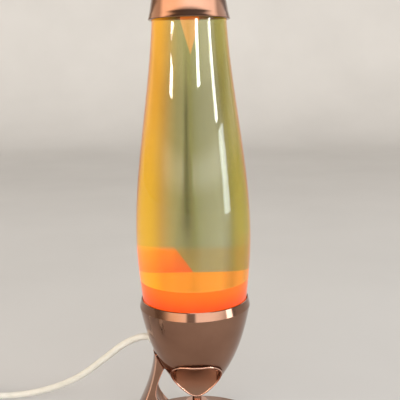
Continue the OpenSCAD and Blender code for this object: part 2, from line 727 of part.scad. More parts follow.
crown_cap();
cap_pad();
bottle_glass();
bottle_stopper();
liquid();
wax();
wax_coil();
pod_shell();
bottle_ledge();
seat_ring();
holder_plate();
plate_screws();
bulb_holder();
bulb_capsule();
bulb_pins();
inner_leads();
cord_grommet();
tail_fin();
fin_screws();
foot_dome();
stud();
stud_nuts();
stud_collar();
ballast_ring();
base_cover();
cover_screws();
foot_pad();
cord();
switch_base();
switch_cover();
switch_rocker();
switch_screws();
cord_run();
cord_coil();
coil_tie();
cord_tail();
plug_body();
plug_pins();
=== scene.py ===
import math

import bpy
from mathutils import Matrix, Vector


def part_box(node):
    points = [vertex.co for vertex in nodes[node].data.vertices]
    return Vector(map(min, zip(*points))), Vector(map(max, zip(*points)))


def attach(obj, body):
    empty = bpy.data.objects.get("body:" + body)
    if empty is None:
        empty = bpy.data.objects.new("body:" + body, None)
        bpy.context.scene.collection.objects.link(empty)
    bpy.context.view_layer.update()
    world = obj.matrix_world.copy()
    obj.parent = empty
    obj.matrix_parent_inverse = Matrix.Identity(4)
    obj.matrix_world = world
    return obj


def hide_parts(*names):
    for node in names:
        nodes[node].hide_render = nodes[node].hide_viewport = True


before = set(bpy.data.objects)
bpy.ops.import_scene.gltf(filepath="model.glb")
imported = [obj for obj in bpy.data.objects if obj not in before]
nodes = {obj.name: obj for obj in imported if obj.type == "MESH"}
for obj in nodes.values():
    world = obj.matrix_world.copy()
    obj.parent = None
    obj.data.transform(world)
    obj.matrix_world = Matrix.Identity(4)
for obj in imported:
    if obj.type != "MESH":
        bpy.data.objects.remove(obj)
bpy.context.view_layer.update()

# Sizes in metres. Outer sizes come from the frame, the others repeat the solids'.
# A station on a profile is (radius, height, slope).
RIM_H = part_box("pod_shell")[1][2]
POD_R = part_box("pod_shell")[1][0]
POD_TIP_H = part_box("pod_shell")[0][2]
CAP_EDGE_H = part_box("crown_cap")[0][2]
CAP_TOP_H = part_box("crown_cap")[1][2]
FOOT_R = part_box("foot_dome")[1][0]
FOOT_TOP_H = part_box("foot_dome")[1][2]
FOOT_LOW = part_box("foot_dome")[0][2]
SEAT_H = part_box("bottle_glass")[0][2]
NECK_TOP_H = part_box("bottle_glass")[1][2]
WAX_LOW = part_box("wax")[0][2]
WAX_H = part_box("wax")[1][2]
LIQUID_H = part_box("liquid")[1][2]
LEDGE_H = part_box("seat_ring")[0][2]

BEVEL_H = 0.007
GLASS_WALL = 0.0026
BELLY = (0.0475, 0.180, 0.0)
BOTTLE_TOP = (0.0296, CAP_EDGE_H, -0.06)
BOTTLE_RIM = (0.044, RIM_H, 0.1)
HEEL = (0.036, SEAT_H, 0.018 / (RIM_H - SEAT_H))
NECK_R = 0.0132
NECK_LEN = 0.018
NECK = (NECK_R, NECK_TOP_H - NECK_LEN, -0.05)
PUNT_R = 0.031
PUNT_H = 0.007
CAP_TOP_R = 0.020
CAP_WALL = 0.0014
CAP_FOOT_R = BOTTLE_TOP[0] + 0.0003 + CAP_WALL
CAP_LIP = 0.0012
CAP_LIP_H = 0.005
CAP_ROUND = 0.006
POD_LOW = (0.006, POD_TIP_H - 0.001, 1.05)
POD_WIDE = (POD_R, RIM_H - BEVEL_H, 0.2)
POD_WALL = 0.0024
POD_INSIDE = 1.35 * POD_WALL
POD_FLOOR = 0.005
TIP_ROUND = 0.0012
RIM_BORE_R = BOTTLE_RIM[0] + 0.0005
RIM_EDGE_R = RIM_BORE_R + 0.0005
SCOOP_R = 0.039
SCOOP_OUT = 0.047
SCOOP_H = 0.043
SCOOP_TOP_H = 0.0765
SCOOP_HALF_W = 0.0215
SCOOP_CORNER = 0.013
SCOOP_FILLET = 0.005
SCOOP_LIP_R = 0.00075
SCOOP_MID_H = 0.056
FIN_SPAN = math.radians(42)
FIN_TOP_H = 0.080
FIN_EDGE = 0.0010
FIN_TOE = (0.064, 0.004, -0.5)
FIN_FOOT_R = 0.0205
FIN_INNER_TOP = (0.029, 0.066, -0.5)
FIN_INNER_MID = (0.0365, 0.044, 0.0)
FIN_INNER_LOW = (0.027, 0.029, 1.2)
FOOT_TOP_R = 0.009
FOOT_RIM_H = FOOT_LOW + 0.003
FOOT_RIM_SLOPE = 0.12
FOOT_TOP_SLOPE = 1.3
FOOT_WALL = 0.0025
FOOT_BORE_R = 0.0022
COVER_R = 0.0592
COVER_TOP_H = 0.0032
CORD_D = 0.006
EXIT_H = 0.089
EXIT_TURN = math.radians(8)
GROMMET_OUT = 0.0016
GROMMET_IN = 0.018
LATHE_STEPS = 144
MERGE = 1e-6


# Modelling tools
def deselect():
    bpy.ops.object.select_all(action="DESELECT")


def pick(piece):
    deselect()
    piece.select_set(True)
    bpy.context.view_layer.objects.active = piece


def name_piece(name):
    piece = bpy.context.object
    piece.name = name
    piece.data.name = name
    return piece


def edit(piece):
    pick(piece)
    bpy.ops.object.mode_set(mode="EDIT")
    bpy.ops.mesh.select_mode(type="VERT")
    bpy.ops.mesh.select_all(action="SELECT")


def done():
    bpy.ops.object.mode_set(mode="OBJECT")


def smooth(piece, degrees=32):
    pick(piece)
    bpy.ops.object.shade_smooth_by_angle(angle=math.radians(degrees))
    return piece


def settle(piece, place):
    """Puts a finished piece where it belongs and leaves its object at the origin."""
    piece.matrix_world = place
    pick(piece)
    bpy.ops.object.transform_apply(location=True, rotation=True, scale=True)
    return piece


def start_line(name, points):
    """One plane merged to a vertex, which is then extruded along the points."""
    deselect()
    bpy.ops.mesh.primitive_plane_add(size=0.01, location=(0, 0, 0))
    piece = name_piece(name)
    edit(piece)
    bpy.ops.mesh.merge(type="CENTER")
    bpy.ops.transform.translate(value=points[0])
    for here, there in zip(points, points[1:]):
        step = Vector(there) - Vector(here)
        bpy.ops.mesh.extrude_region_move(TRANSFORM_OT_translate={"value": step})
    return piece


def turned(name, outline, steps=LATHE_STEPS, degrees=32):
    """A profile of (radius, height) points spun round the upright axis."""
    piece = start_line(name, [(r, 0, z) for r, z in outline])
    bpy.ops.mesh.select_all(action="SELECT")
    bpy.ops.mesh.spin(steps=steps, angle=2 * math.pi, center=(0, 0, 0), axis=(0, 0, 1))
    bpy.ops.mesh.select_all(action="SELECT")
    bpy.ops.mesh.remove_doubles(threshold=MERGE)
    bpy.ops.mesh.normals_make_consistent(inside=False)
    done()
    return smooth(piece, degrees)


def cut(piece, cutter, keep="DIFFERENCE"):
    """Cuts one piece by another and throws the cutter away."""
    pick(piece)
    modifier = piece.modifiers.new("cut", "BOOLEAN")
    modifier.operation = keep
    modifier.solver = "EXACT"
    modifier.object = cutter
    bpy.ops.object.modifier_apply(modifier=modifier.name)
    bpy.data.objects.remove(cutter)
    return piece


def bevelled(piece, width, segments=3, degrees=40, finish=-1):
    """Rounds the sharp edges, in the piece's own finish or in one of its others by number."""
    pick(piece)
    modifier = piece.modifiers.new("edges", "BEVEL")
    modifier.width = width
    modifier.segments = segments
    modifier.limit_method = "ANGLE"
    modifier.angle_limit = math.radians(degrees)
    modifier.material = finish
    modifier.use_clamp_overlap = finish < 0
    bpy.ops.object.modifier_apply(modifier=modifier.name)
    return piece


def select_edges(piece, wanted):
    """Selects the edges whose two ends pass the test, and leaves the piece in edit mode."""
    edit(piece)
    bpy.ops.mesh.select_mode(type="EDGE")
    bpy.ops.mesh.select_all(action="DESELECT")
    done()
    mesh = piece.data
    for edge in mesh.edges:
        a, b = (mesh.vertices[i].co for i in edge.vertices)
        edge.select = bool(wanted(a, b))
    bpy.ops.object.mode_set(mode="EDIT")


def block(name, size, corner, edge, segments=5):
    """A box on the origin with round upright corners and softened upper and lower edges."""
    deselect()
    bpy.ops.mesh.primitive_cube_add(size=1, location=(0, 0, 0), scale=size)
    piece = name_piece(name)
    settle(piece, piece.matrix_world.copy())
    select_edges(piece, lambda a, b: abs(a.z - b.z) > 1e-6)
    bpy.ops.mesh.bevel(offset=corner, segments=2 * segments, affect="EDGES")
    done()
    select_edges(piece, lambda a, b: abs(a.z - b.z) < 1e-7 and abs(abs(a.z) - size[2] / 2) < 1e-7)
    bpy.ops.mesh.bevel(offset=edge, segments=segments, affect="EDGES")
    done()
    return smooth(piece, 50)


# Profiles
def bend(a, b, z):
    """Radius at height z on a smooth curve between two stations of (radius, height, slope)."""
    span = b[1] - a[1]
    t = (z - a[1]) / span
    u = 1 - t
    ends = a[0] * u * u * (1 + 2 * t) + b[0] * t * t * (3 - 2 * t)
    return ends + span * (a[2] * t * u * u - b[2] * t * t * u)


def along(a, b, steps, first=0):
    """Profile points from one station to the next."""
    heights = [a[1] + (b[1] - a[1]) * i / steps for i in range(first, steps + 1)]
    return [(bend(a, b, z), z) for z in heights]


def arc(centre_r, centre_z, radius, start, end, steps=8):
    turns = [math.radians(start + (end - start) * i / steps) for i in range(steps + 1)]
    return [(centre_r + radius * math.cos(t), centre_z + radius * math.sin(t)) for t in turns]


def glass_r(z):
    if z < RIM_H:
        return bend(HEEL, BOTTLE_RIM, z)
    if z < BELLY[1]:
        return bend(BOTTLE_RIM, BELLY, z)
    if z < CAP_EDGE_H:
        return bend(BELLY, BOTTLE_TOP, z)
    return bend(BOTTLE_TOP, NECK, z)


def pod_r(z):
    return bend(POD_LOW, POD_WIDE, z)


def inside_line(low, high, steps, gap):
    """The bottle's profile, moved in by the gap."""
    heights = [low + (high - low) * i / steps for i in range(steps + 1)]
    return [(glass_r(z) - gap, z) for z in heights]


def foot_point(t, drop=0.0):
    """The foot's flare, from its rim at t = 0 in and up to its flat top at t = 1."""
    rim_r = FOOT_R - 0.002
    span = rim_r - FOOT_TOP_R
    u = 1 - t
    rise = FOOT_RIM_H * u * u * (1 + 2 * t) + FOOT_TOP_H * t * t * (3 - 2 * t)
    rise += span * (FOOT_RIM_SLOPE * t * u * u - FOOT_TOP_SLOPE * t * t * u)
    return rim_r - span * t - drop / 2, rise - 1.5 * drop


# Materials
GRAIN_DEPTH = 0.0002


def new_material(name):
    material = bpy.data.materials.new(name)
    material.use_nodes = True
    tree = material.node_tree
    return material, tree, tree.nodes["Principled BSDF"]


def add_node(tree, kind, **values):
    node = tree.nodes.new(kind)
    for key, value in values.items():
        if key in node.inputs:
            node.inputs[key].default_value = value
        else:
            setattr(node, key, value)
    return node


def ramp(tree, source, low, high, start=0.3, end=0.7):
    node = add_node(tree, "ShaderNodeValToRGB")
    node.color_ramp.elements[0].position = start
    node.color_ramp.elements[0].color = low
    node.color_ramp.elements[1].position = end
    node.color_ramp.elements[1].color = high
    tree.links.new(source, node.inputs["Fac"])
    return node.outputs["Color"]


def grey(value):
    return (value, value, value, 1)


def noise(tree, scale, detail=4, stretch=(1, 1, 1)):
    place = add_node(tree, "ShaderNodeTexCoord")
    mapping = add_node(tree, "ShaderNodeMapping", Scale=stretch)
    texture = add_node(tree, "ShaderNodeTexNoise", Scale=scale, Detail=detail)
    tree.links.new(place.outputs["Object"], mapping.inputs["Vector"])
    tree.links.new(mapping.outputs["Vector"], texture.inputs["Vector"])
    return texture.outputs["Fac"]


def bump(tree, shader, height, strength, distance):
    node = add_node(tree, "ShaderNodeBump", Strength=strength, Distance=distance)
    tree.links.new(height, node.inputs["Height"])
    tree.links.new(node.outputs["Normal"], shader.inputs["Normal"])


def surface(name, dark, light, rough, scale, grain, grain_scale, metal=0.0):
    """A finish whose colour and gloss vary a little, with a fine grain."""
    material, tree, shader = new_material(name)
    blotch = noise(tree, scale)
    tree.links.new(ramp(tree, blotch, dark, light), shader.inputs["Base Color"])
    tree.links.new(ramp(tree, blotch, grey(rough[0]), grey(rough[1])), shader.inputs["Roughness"])
    shader.inputs["Metallic"].default_value = metal
    bump(tree, shader, noise(tree, grain_scale, 6), grain, GRAIN_DEPTH)
    return material


def clear(name, tint, ior, rough=0.0):
    material, tree, shader = new_material(name)
    shader.inputs["Base Color"].default_value = tint
    shader.inputs["Transmission Weight"].default_value = 1
    shader.inputs["IOR"].default_value = ior
    shader.inputs["Roughness"].default_value = rough
    return material, tree, shader


def glass_finish():
    """Clear glass with the slight waviness of a blown bottle."""
    material, tree, shader = clear("bottle_glass", (0.96, 0.97, 0.94, 1), 1.47)
    bump(tree, shader, noise(tree, 22, 2, (1, 1, 0.3)), 0.12, 0.0006)
    return material


def spread(tree, source, axis, low, high):
    """How far a point's place or normal lies from low to high along one axis, from 0 to 1."""
    place = add_node(tree, "ShaderNodeTexCoord")
    split = add_node(tree, "ShaderNodeSeparateXYZ")
    reach = add_node(tree, "ShaderNodeMapRange")
    reach.inputs["From Min"].default_value = low
    reach.inputs["From Max"].default_value = high
    tree.links.new(place.outputs[source], split.inputs["Vector"])
    tree.links.new(split.outputs[axis], reach.inputs["Value"])
    return reach.outputs["Result"]


def stops(tree, source, colours):
    """A ramp with one stop for each (place, colour)."""
    first, *middle, last = colours
    out = ramp(tree, source, (*first[1], 1), (*last[1], 1), first[0], last[0])
    for at, colour in middle:
        out.node.color_ramp.elements.new(at).color = (*colour, 1)
    return out


def level_stops(*levels):
    """Stops of plain grey for a ramp, from (place, level)."""
    return [(at, (level, level, level)) for at, level in levels]


def math_node(tree, operation, *values):
    node = add_node(tree, "ShaderNodeMath", operation=operation)
    for socket, value in zip(node.inputs, values):
        if isinstance(value, (int, float)):
            socket.default_value = value
        else:
            tree.links.new(value, socket)
    return node.outputs["Value"]


def mixed(tree, factor, a, b):
    """A colour between two, each a socket or a constant."""
    node = add_node(tree, "ShaderNodeMix", data_type="RGBA")
    tree.links.new(factor, node.inputs["Factor"])
    for socket, colour in ((node.inputs[6], a), (node.inputs[7], b)):
        if isinstance(colour, tuple):
            socket.default_value = colour
        else:
            tree.links.new(colour, socket)
    return node.outputs[2]


def round_axis(tree):
    """Sideways and backward shares of a point's direction from the upright axis, from -1 to 1."""
    place = add_node(tree, "ShaderNodeTexCoord")
    flat = add_node(tree, "ShaderNodeVectorMath", operation="MULTIPLY")
    flat.inputs[1].default_value = (1, 1, 0)
    unit = add_node(tree, "ShaderNodeVectorMath", operation="NORMALIZE")
    split = add_node(tree, "ShaderNodeSeparateXYZ")
    tree.links.new(place.outputs["Object"], flat.inputs[0])
    tree.links.new(flat.outputs["Vector"], unit.inputs[0])
    tree.links.new(unit.outputs["Vector"], split.inputs["Vector"])
    return split.outputs["X"], split.outputs["Y"]


# Places of the painted light and reflections in the liquid: sideways from 0 on the cord's side to 1,
# upwards in metres
# Painted gold light low down on the liquid's cord side
GOLD_LIGHT_TONE = (0.84, 0.62, 0.01, 1)
# A painted dark reflection strip down the liquid's front
STRIP_AT = 0.455
STRIP_HALF_W = 0.12
STRIP_TAPER = 0.085
REFLECTION_STRIP_TONE = (0.15, 0.14, 0.035, 1)
# A painted orange glow of the wax on the liquid's back, just over the wax
BANK_H = 0.022
BANK_EDGE = 0.49
BANK_LEAN = 0.10
WAX_GLOW_BANK_TINT = (0.30, 0.05, 0.0, 1)
# A painted orange glow on the liquid's back under the cap
CROWN_AT = 0.50
CROWN_HALF_W = 0.075
CROWN_DROP = 0.028
CROWN_GLOW_TONE = (0.62, 0.12, 0.0, 1)


def both(tree, a, b):
    return math_node(tree, "MULTIPLY", a, b)


def off_line(tree, side, line):
    return math_node(tree, "ABSOLUTE", math_node(tree, "SUBTRACT", side, line))


def painted_side_light(tree, side):
    """The liquid's yellow round the bottle with painted light and reflections in it, yellower low down on
    the cord's side.
    """
    tint = stops(tree, side, [
        (0.00, (1.00, 0.32, 0.02)), (0.04, (0.96, 0.48, 0.02)), (0.14, (0.92, 0.47, 0.03)),
        (0.22, (0.80, 0.42, 0.07)), (0.32, (0.70, 0.58, 0.22)), (0.44, (0.62, 0.58, 0.24)),
        (0.50, (0.56, 0.53, 0.18)), (0.58, (0.64, 0.65, 0.36)), (0.74, (0.72, 0.75, 0.52)),
        (0.84, (0.29, 0.27, 0.04)), (0.96, (0.36, 0.32, 0.02)), (1.00, (0.74, 0.42, 0.03)),
    ])
    yellow = stops(tree, side, level_stops(
        (0, 0.3), (0.05, 1), (0.13, 1), (0.24, 0), (0.80, 0), (0.92, 0.5), (1, 0)))
    lower = spread(tree, "Object", "Z", CAP_EDGE_H - 0.05, WAX_H + 0.07)
    return mixed(tree, both(tree, yellow, lower), tint, GOLD_LIGHT_TONE)


def painted_reflection_strip(tree, side, in_front):
    """Where the painted dark reflection strip runs down the front, wider below and soft at both ends."""
    rise = spread(tree, "Object", "Z", WAX_H + 0.03, WAX_H + 0.12)
    half_strip = math_node(tree, "MULTIPLY_ADD", rise, -STRIP_TAPER, STRIP_HALF_W)
    across = math_node(tree, "DIVIDE", off_line(tree, side, STRIP_AT), half_strip)
    strip = ramp(tree, across, grey(1), grey(0), 0.1, 1)
    ends = stops(tree, spread(tree, "Object", "Z", WAX_H, CAP_EDGE_H), level_stops(
        (0.08, 0), (0.27, 1), (0.65, 1), (0.92, 0)))
    return both(tree, both(tree, strip, ends), in_front)


def liquid_finish():
    """Yellow liquid, with painted light that makes it gold on the cord's side and olive on the other.

    A painted dark reflection strip runs down its front. On its back a painted orange glow lies over the wax
    and under the cap.
    """
    material, tree, shader = clear("liquid", (0.93, 0.80, 0.28, 1), 1.36)
    sideways, backward = round_axis(tree)
    side = math_node(tree, "MULTIPLY_ADD", sideways, 0.5, 0.5)
    in_front = math_node(tree, "LESS_THAN", backward, 0.0)
    behind = math_node(tree, "GREATER_THAN", backward, 0.0)
    tint = mixed(tree, painted_reflection_strip(tree, side, in_front), painted_side_light(tree, side), REFLECTION_STRIP_TONE)
    # Painted glow emitted by the liquid, orange on the cord's side and faint on the other
    painted_glow = stops(tree, side, [
        (0.00, (0.36, 0.08, 0.0)), (0.05, (0.36, 0.14, 0.0)), (0.13, (0.30, 0.11, 0.0)),
        (0.24, (0.14, 0.05, 0.0)), (0.36, (0.0, 0.0, 0.0)), (0.78, (0.0, 0.0, 0.0)),
        (0.88, (0.05, 0.04, 0.0)), (0.965, (0.07, 0.055, 0.0)), (1.00, (0.20, 0.065, 0.0)),
    ])
    height = spread(tree, "Object", "Z", WAX_H, WAX_H + BANK_H)
    near_wax = ramp(tree, height, grey(1), grey(0), 0.8, 1)
    # Painted orange glow of the wax on the back, just over it
    wax_glow_tint = stops(tree, side, [
        (0.00, (1.00, 0.36, 0.02)), (0.42, (1.00, 0.42, 0.03)),
        (0.56, (0.78, 0.50, 0.16)), (1.00, (0.80, 0.46, 0.10)),
    ])
    tint = mixed(tree, both(tree, near_wax, behind), tint, wax_glow_tint)
    # A bank of painted orange glow, in colour and emission, beside the wax on the back
    lean = math_node(tree, "MULTIPLY_ADD", height, BANK_LEAN, side)
    bank = both(tree, both(tree, math_node(tree, "LESS_THAN", lean, BANK_EDGE), near_wax), behind)
    tint = mixed(tree, bank, tint, WAX_GLOW_BANK_TINT)
    wax_glow_bank_tone = ramp(tree, height, (1.0, 0.05, 0.0, 1), (1.0, 0.17, 0.0, 1), 0.1, 0.8)
    painted_glow = mixed(tree, bank, painted_glow, wax_glow_bank_tone)
    # Painted orange glow under the cap on the back, in emission
    crown = spread(tree, "Object", "Z", CAP_EDGE_H - CROWN_DROP, CAP_EDGE_H)
    crown_half = math_node(tree, "MULTIPLY", crown, CROWN_HALF_W)
    crown = both(tree, math_node(tree, "LESS_THAN", off_line(tree, side, CROWN_AT), crown_half), behind)
    painted_glow = mixed(tree, crown, painted_glow, CROWN_GLOW_TONE)
    # The face that lies on the wax has no colour of its own
    on_wax = math_node(tree, "LESS_THAN", height, 0.001)
    tree.links.new(mixed(tree, on_wax, tint, (1, 1, 1, 1)), shader.inputs["Base Color"])
    tree.links.new(painted_glow, shader.inputs["Emission Color"])
    shader.inputs["Emission Strength"].default_value = 1
    return material


def wax_finish():
    """Orange wax with a painted glow, emitted though it is no lamp, paler towards its top."""
    material, tree, shader = new_material("wax")
    rise = spread(tree, "Object", "Z", WAX_LOW, WAX_H)
    cloud = math_node(tree, "MULTIPLY_ADD", noise(tree, 45, 3), 0.25, rise)
    # Faces that look up get a brighter painted glow, as if lit from above
    top = math_node(tree, "GREATER_THAN", spread(tree, "Normal", "Z", -1, 1), 0.8)
    wax_glow_side = ramp(tree, cloud, (1.0, 0.095, 0.0, 1), (1.0, 0.18, 0.0, 1), 0.45, 1.1)
    tone = mixed(tree, top, wax_glow_side, (1.38, 0.44, 0.0, 1))
    deep = ramp(tree, cloud, (0.40, 0.025, 0.0, 1), (0.45, 0.08, 0.0, 1), 0.35, 1.1)
    tree.links.new(deep, shader.inputs["Base Color"])
    tree.links.new(tone, shader.inputs["Emission Color"])
    shader.inputs["Emission Strength"].default_value = 0.85
    shader.inputs["Specular IOR Level"].default_value = 0.1
    shader.inputs["Roughness"].default_value = 0.5
    bump(tree, shader, noise(tree, 120, 3), 0.1, 0.0004)
    return material


COPPER = surface("polished_copper", (0.25, 0.132, 0.088, 1), (0.34, 0.188, 0.128, 1), (0.05, 0.12),
                 scale=28, metal=1.0, grain=0.03, grain_scale=500)
# Bright copper that paints highlights on the fin's rounded edges and the scoop's lip
EDGE_HIGHLIGHT = surface("copper_edge_painted_highlight", (0.66, 0.38, 0.28, 1), (0.84, 0.54, 0.42, 1), (0.08, 0.18),
                    scale=60, metal=1.0, grain=0.03, grain_scale=700)
SATIN = surface("satin_copper", (0.30, 0.19, 0.135, 1), (0.36, 0.23, 0.165, 1), (0.34, 0.44),
                scale=40, metal=1.0, grain=0.04, grain_scale=700)
GLASS = glass_finish()
LIQUID = liquid_finish()
WAX = wax_finish()
IVORY = surface("off_white_plastic", (0.80, 0.79, 0.72, 1), (0.86, 0.85, 0.79, 1), (0.28, 0.4),
                scale=70, grain=0.08, grain_scale=1400)
SHEATH = surface("cord_sheath", (0.70, 0.70, 0.64, 1), (0.77, 0.77, 0.72, 1), (0.34, 0.5),
                 scale=120, grain=0.06, grain_scale=1800)
STEEL = surface("zinc_steel", (0.48, 0.48, 0.49, 1), (0.64, 0.64, 0.65, 1), (0.25, 0.42),
                scale=260, metal=1.0, grain=0.12, grain_scale=1500)
PLATED = surface("plated_pins", (0.66, 0.65, 0.62, 1), (0.80, 0.79, 0.77, 1), (0.12, 0.24),
                 scale=300, metal=1.0, grain=0.05, grain_scale=1500)
RUBBER = surface("black_rubber", (0.012, 0.012, 0.012, 1), (0.03, 0.03, 0.03, 1), (0.6, 0.8),
                 scale=200, grain=0.25, grain_scale=1600)
FELT = surface("black_felt", (0.010, 0.010, 0.011, 1), (0.035, 0.035, 0.038, 1), (0.9, 1.0),
               scale=1200, grain=0.8, grain_scale=2500)
CERAMIC = surface("lamp_ceramic", (0.76, 0.74, 0.68, 1), (0.84, 0.82, 0.77, 1), (0.45, 0.65),
                  scale=180, grain=0.2, grain_scale=1100)
IRON = surface("cast_weight", (0.03, 0.03, 0.032, 1), (0.075, 0.075, 0.078, 1), (0.55, 0.75),
               scale=150, metal=0.6, grain=0.6, grain_scale=600)
BLACK = surface("black_paint", (0.012, 0.012, 0.013, 1), (0.028, 0.028, 0.03, 1), (0.3, 0.45),
                scale=90, grain=0.2, grain_scale=900)
STRAP = surface("strap_weave", (0.010, 0.010, 0.010, 1), (0.04, 0.04, 0.042, 1), (0.7, 0.9),
                scale=900, grain=0.7, grain_scale=2400)
SLEEVE = surface("lead_sleeve", (0.55, 0.50, 0.36, 1), (0.66, 0.61, 0.46, 1), (0.6, 0.8),
                 scale=500, grain=0.5, grain_scale=2200)
BULB = clear("bulb_glass", (0.98, 0.97, 0.92, 1), 1.45, 0.25)[0]


def dress(piece, body, slot, material, *replaced):
    """Gives a new piece its finish, if it has none yet, and its body, and hides the solids that it stands
    for.
    """
    if not piece.data.materials:
        piece.data.materials.append(material)
    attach(piece, body)
    if replaced:
        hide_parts(*replaced)
    return piece


# Camera
CAMERA_AT = (0.006, -0.553, 0.310)
CAMERA_DOWN = math.radians(10.3)
CAMERA_ROLL = math.radians(-1.1)
LENS_MM = 61.2


def place_camera():
    camera = bpy.data.cameras.new("camera")
    camera.lens = LENS_MM
    camera.sensor_width = 36
    camera.clip_start = 0.01
    viewer = bpy.data.objects.new("camera", camera)
    bpy.context.scene.collection.objects.link(viewer)
    tilt = Matrix.Rotation(math.pi / 2 - CAMERA_DOWN, 4, "X") @ Matrix.Rotation(CAMERA_ROLL, 4, "Z")
    viewer.matrix_world = Matrix.Translation(CAMERA_AT) @ tilt
    bpy.context.scene.camera = viewer


# Cord: one length from the pod through the switch and the tied coil to the plug
POD_EXIT_R = pod_r(EXIT_H)
EXIT_DIR = Vector((-math.cos(EXIT_TURN), math.sin(EXIT_TURN), 0))
CORD_START = Vector((0, 0, EXIT_H)) + (POD_EXIT_R + GROMMET_OUT) * EXIT_DIR
SWITCH_AT = Vector((-0.234, 0.063, 0))
SWITCH_SIZE = Vector((0.056, 0.025, 0.017))
SWITCH_MID = SWITCH_SIZE.z / 2
SWITCH_CORNER = 0.008
SWITCH_EDGE = 0.0028
SWITCH_SEAM = 0.0003
ROCKER_WINDOW = (0.022, 0.012, 0.02)
ROCKER_LEN = 0.020
ROCKER_W = 0.011
ROCKER_T = 0.0038
ROCKER_CROWN = 0.0011
ROCKER_DIP = 0.0011
ROCKER_REST = math.radians(6)
COIL_AT = Vector((-0.252, -0.006, 0))
COIL_R_IN = 0.025
COIL_TURNS = 3.125
COIL_PITCH = CORD_D + 0.0006
COIL_LOW = CORD_D / 2 + 0.0011
COIL_R_OUT = COIL_R_IN + COIL_TURNS * COIL_PITCH
STRAP_T = 0.0008
RUN_TURN = 0.030
LOOP_RINGS = 36
PLUG_T = 0.0136
PLUG_LEN = 0.036
PLUG_W = 0.027
PLUG_PITCH = 0.0186
PLUG_CORNER = 0.004
PLUG_EDGE = 0.0035
PLUG_NOSE = 0.012
PLUG_RIB = (0.0016, 0.0014, 0.0070)
RIBS_FROM = 0.016
RIB_STEP = 0.0032
PIN_R = 0.0020
PIN_SLEEVE_R = 0.00215
PIN_SLEEVE_LEN = 0.0100
COIL_OUT = COIL_AT + Vector((0, -COIL_R_OUT, COIL_LOW + COIL_PITCH))
PLUG_AT = Vector((COIL_AT.x + 0.052, COIL_OUT.y, PLUG_T / 2))


def coil_point(turn):
    back = abs(turn - COIL_TURNS)
    climb = min(max(2 * (turn - COIL_TURNS) + 0.5, 0), 1)
    lift = climb * climb * (3 - 2 * climb)
    angle = math.pi + 2 * math.pi * turn
    r = COIL_R_IN + COIL_PITCH * back
    return COIL_AT + Vector((r * math.cos(angle), r * math.sin(angle), COIL_LOW + COIL_PITCH * lift))


def cord_points():
    switch_in = SWITCH_AT + Vector((SWITCH_SIZE.x / 2, 0, SWITCH_MID))
    switch_out = SWITCH_AT + Vector((-SWITCH_SIZE.x / 2, 0, SWITCH_MID))
    hand_points = [
        (-56, 10, 84.5), (-66, 13, 78), (-76, 17, 69), (-86, 22, 60), (-97, 27, 50), (-108, 33, 41),
        (-120, 39, 33), (-132, 45, 26), (-145, 50.5, 20), (-158, 55.5, 15), (-171, 59.5, 11.5),
        (-184, 62, 9.4),
    ]
    points = [CORD_START, CORD_START + CORD_D * EXIT_DIR]
    points += [Vector(p) / 1000 for p in hand_points]
    points += [switch_in + Vector((0.008, 0, 0.0002)), switch_in, SWITCH_AT + Vector((0, 0, SWITCH_MID))]
    points += [switch_out, switch_out + Vector((-CORD_D, 0, 0))]
    coil_in = COIL_AT + Vector((-COIL_R_OUT, 0, COIL_LOW))
    turn_x = coil_in.x + RUN_TURN
    turn_y = SWITCH_AT.y - RUN_TURN
    for i in range(7):
        angle = math.radians(90 + 15 * i)
        height = COIL_LOW + (SWITCH_MID - COIL_LOW) * (0.9 - 0.12 * i)
        x = turn_x + RUN_TURN * math.cos(angle)
        y = turn_y + RUN_TURN * math.sin(angle)
        points.append(Vector((x, y, height)))
    points += [coil_in + Vector((0, 0.022, 0.0004)), coil_in + Vector((0, CORD_D, 0))]
    rings = round(2 * COIL_TURNS * LOOP_RINGS)
    points += [coil_point(i / LOOP_RINGS) for i in range(rings + 1)]
    points += [COIL_OUT + Vector((0.006, 0, 0)), COIL_OUT + Vector((0.016, 0, 0))]
    points += [COIL_OUT + Vector((0.026, 0, -0.0008)), PLUG_AT + Vector((-0.016, 0, 0.0008))]
    points += [PLUG_AT + Vector((-CORD_D, 0, 0)), PLUG_AT]
    return points


def eased(points, parts=4):
    """The same route with in-between points on a smooth curve through the given ones."""
    route = [points[0]]
    for i in range(len(points) - 1):
        a, b = points[i], points[i + 1]
        before = points[max(i - 1, 0)]
        after = points[min(i + 2, len(points) - 1)]
        reach = (b - a).length
        lead_in = (b - before).normalized() * reach
        lead_out = (after - a).normalized() * reach
        for k in range(1, parts + 1):
            t = k / parts
            u = 1 - t
            route.append(a * u * u * (1 + 2 * t) + b * t * t * (3 - 2 * t)
                         + lead_in * (t * u * u) - lead_out * (t * t * u))
    return route


def round_line(name, points, radius, rounds, closed=False):
    """A curve through the points with a round section."""
    line = bpy.data.curves.new(name, "CURVE")
    line.dimensions = "3D"
    line.bevel_depth = radius
    line.bevel_resolution = rounds
    line.use_fill_caps = True
    spline = line.splines.new("POLY")
    spline.use_cyclic_u = closed
    spline.points.add(len(points) - 1)
    for point, place in zip(spline.points, points):
        point.co = (*place, 1)
    spline.use_smooth = True
    piece = bpy.data.objects.new(name, line)
    bpy.context.scene.collection.objects.link(piece)
    return piece


def make_cord():
    route = eased(cord_points())
    cord = round_line("lamp_cord", route, CORD_D / 2, 4)
    length = sum((b - a).length for a, b in zip(route, route[1:]))
    dress(cord, "base", "cord", SHEATH, "cord", "cord_run", "cord_coil", "cord_tail")
    return cord, length


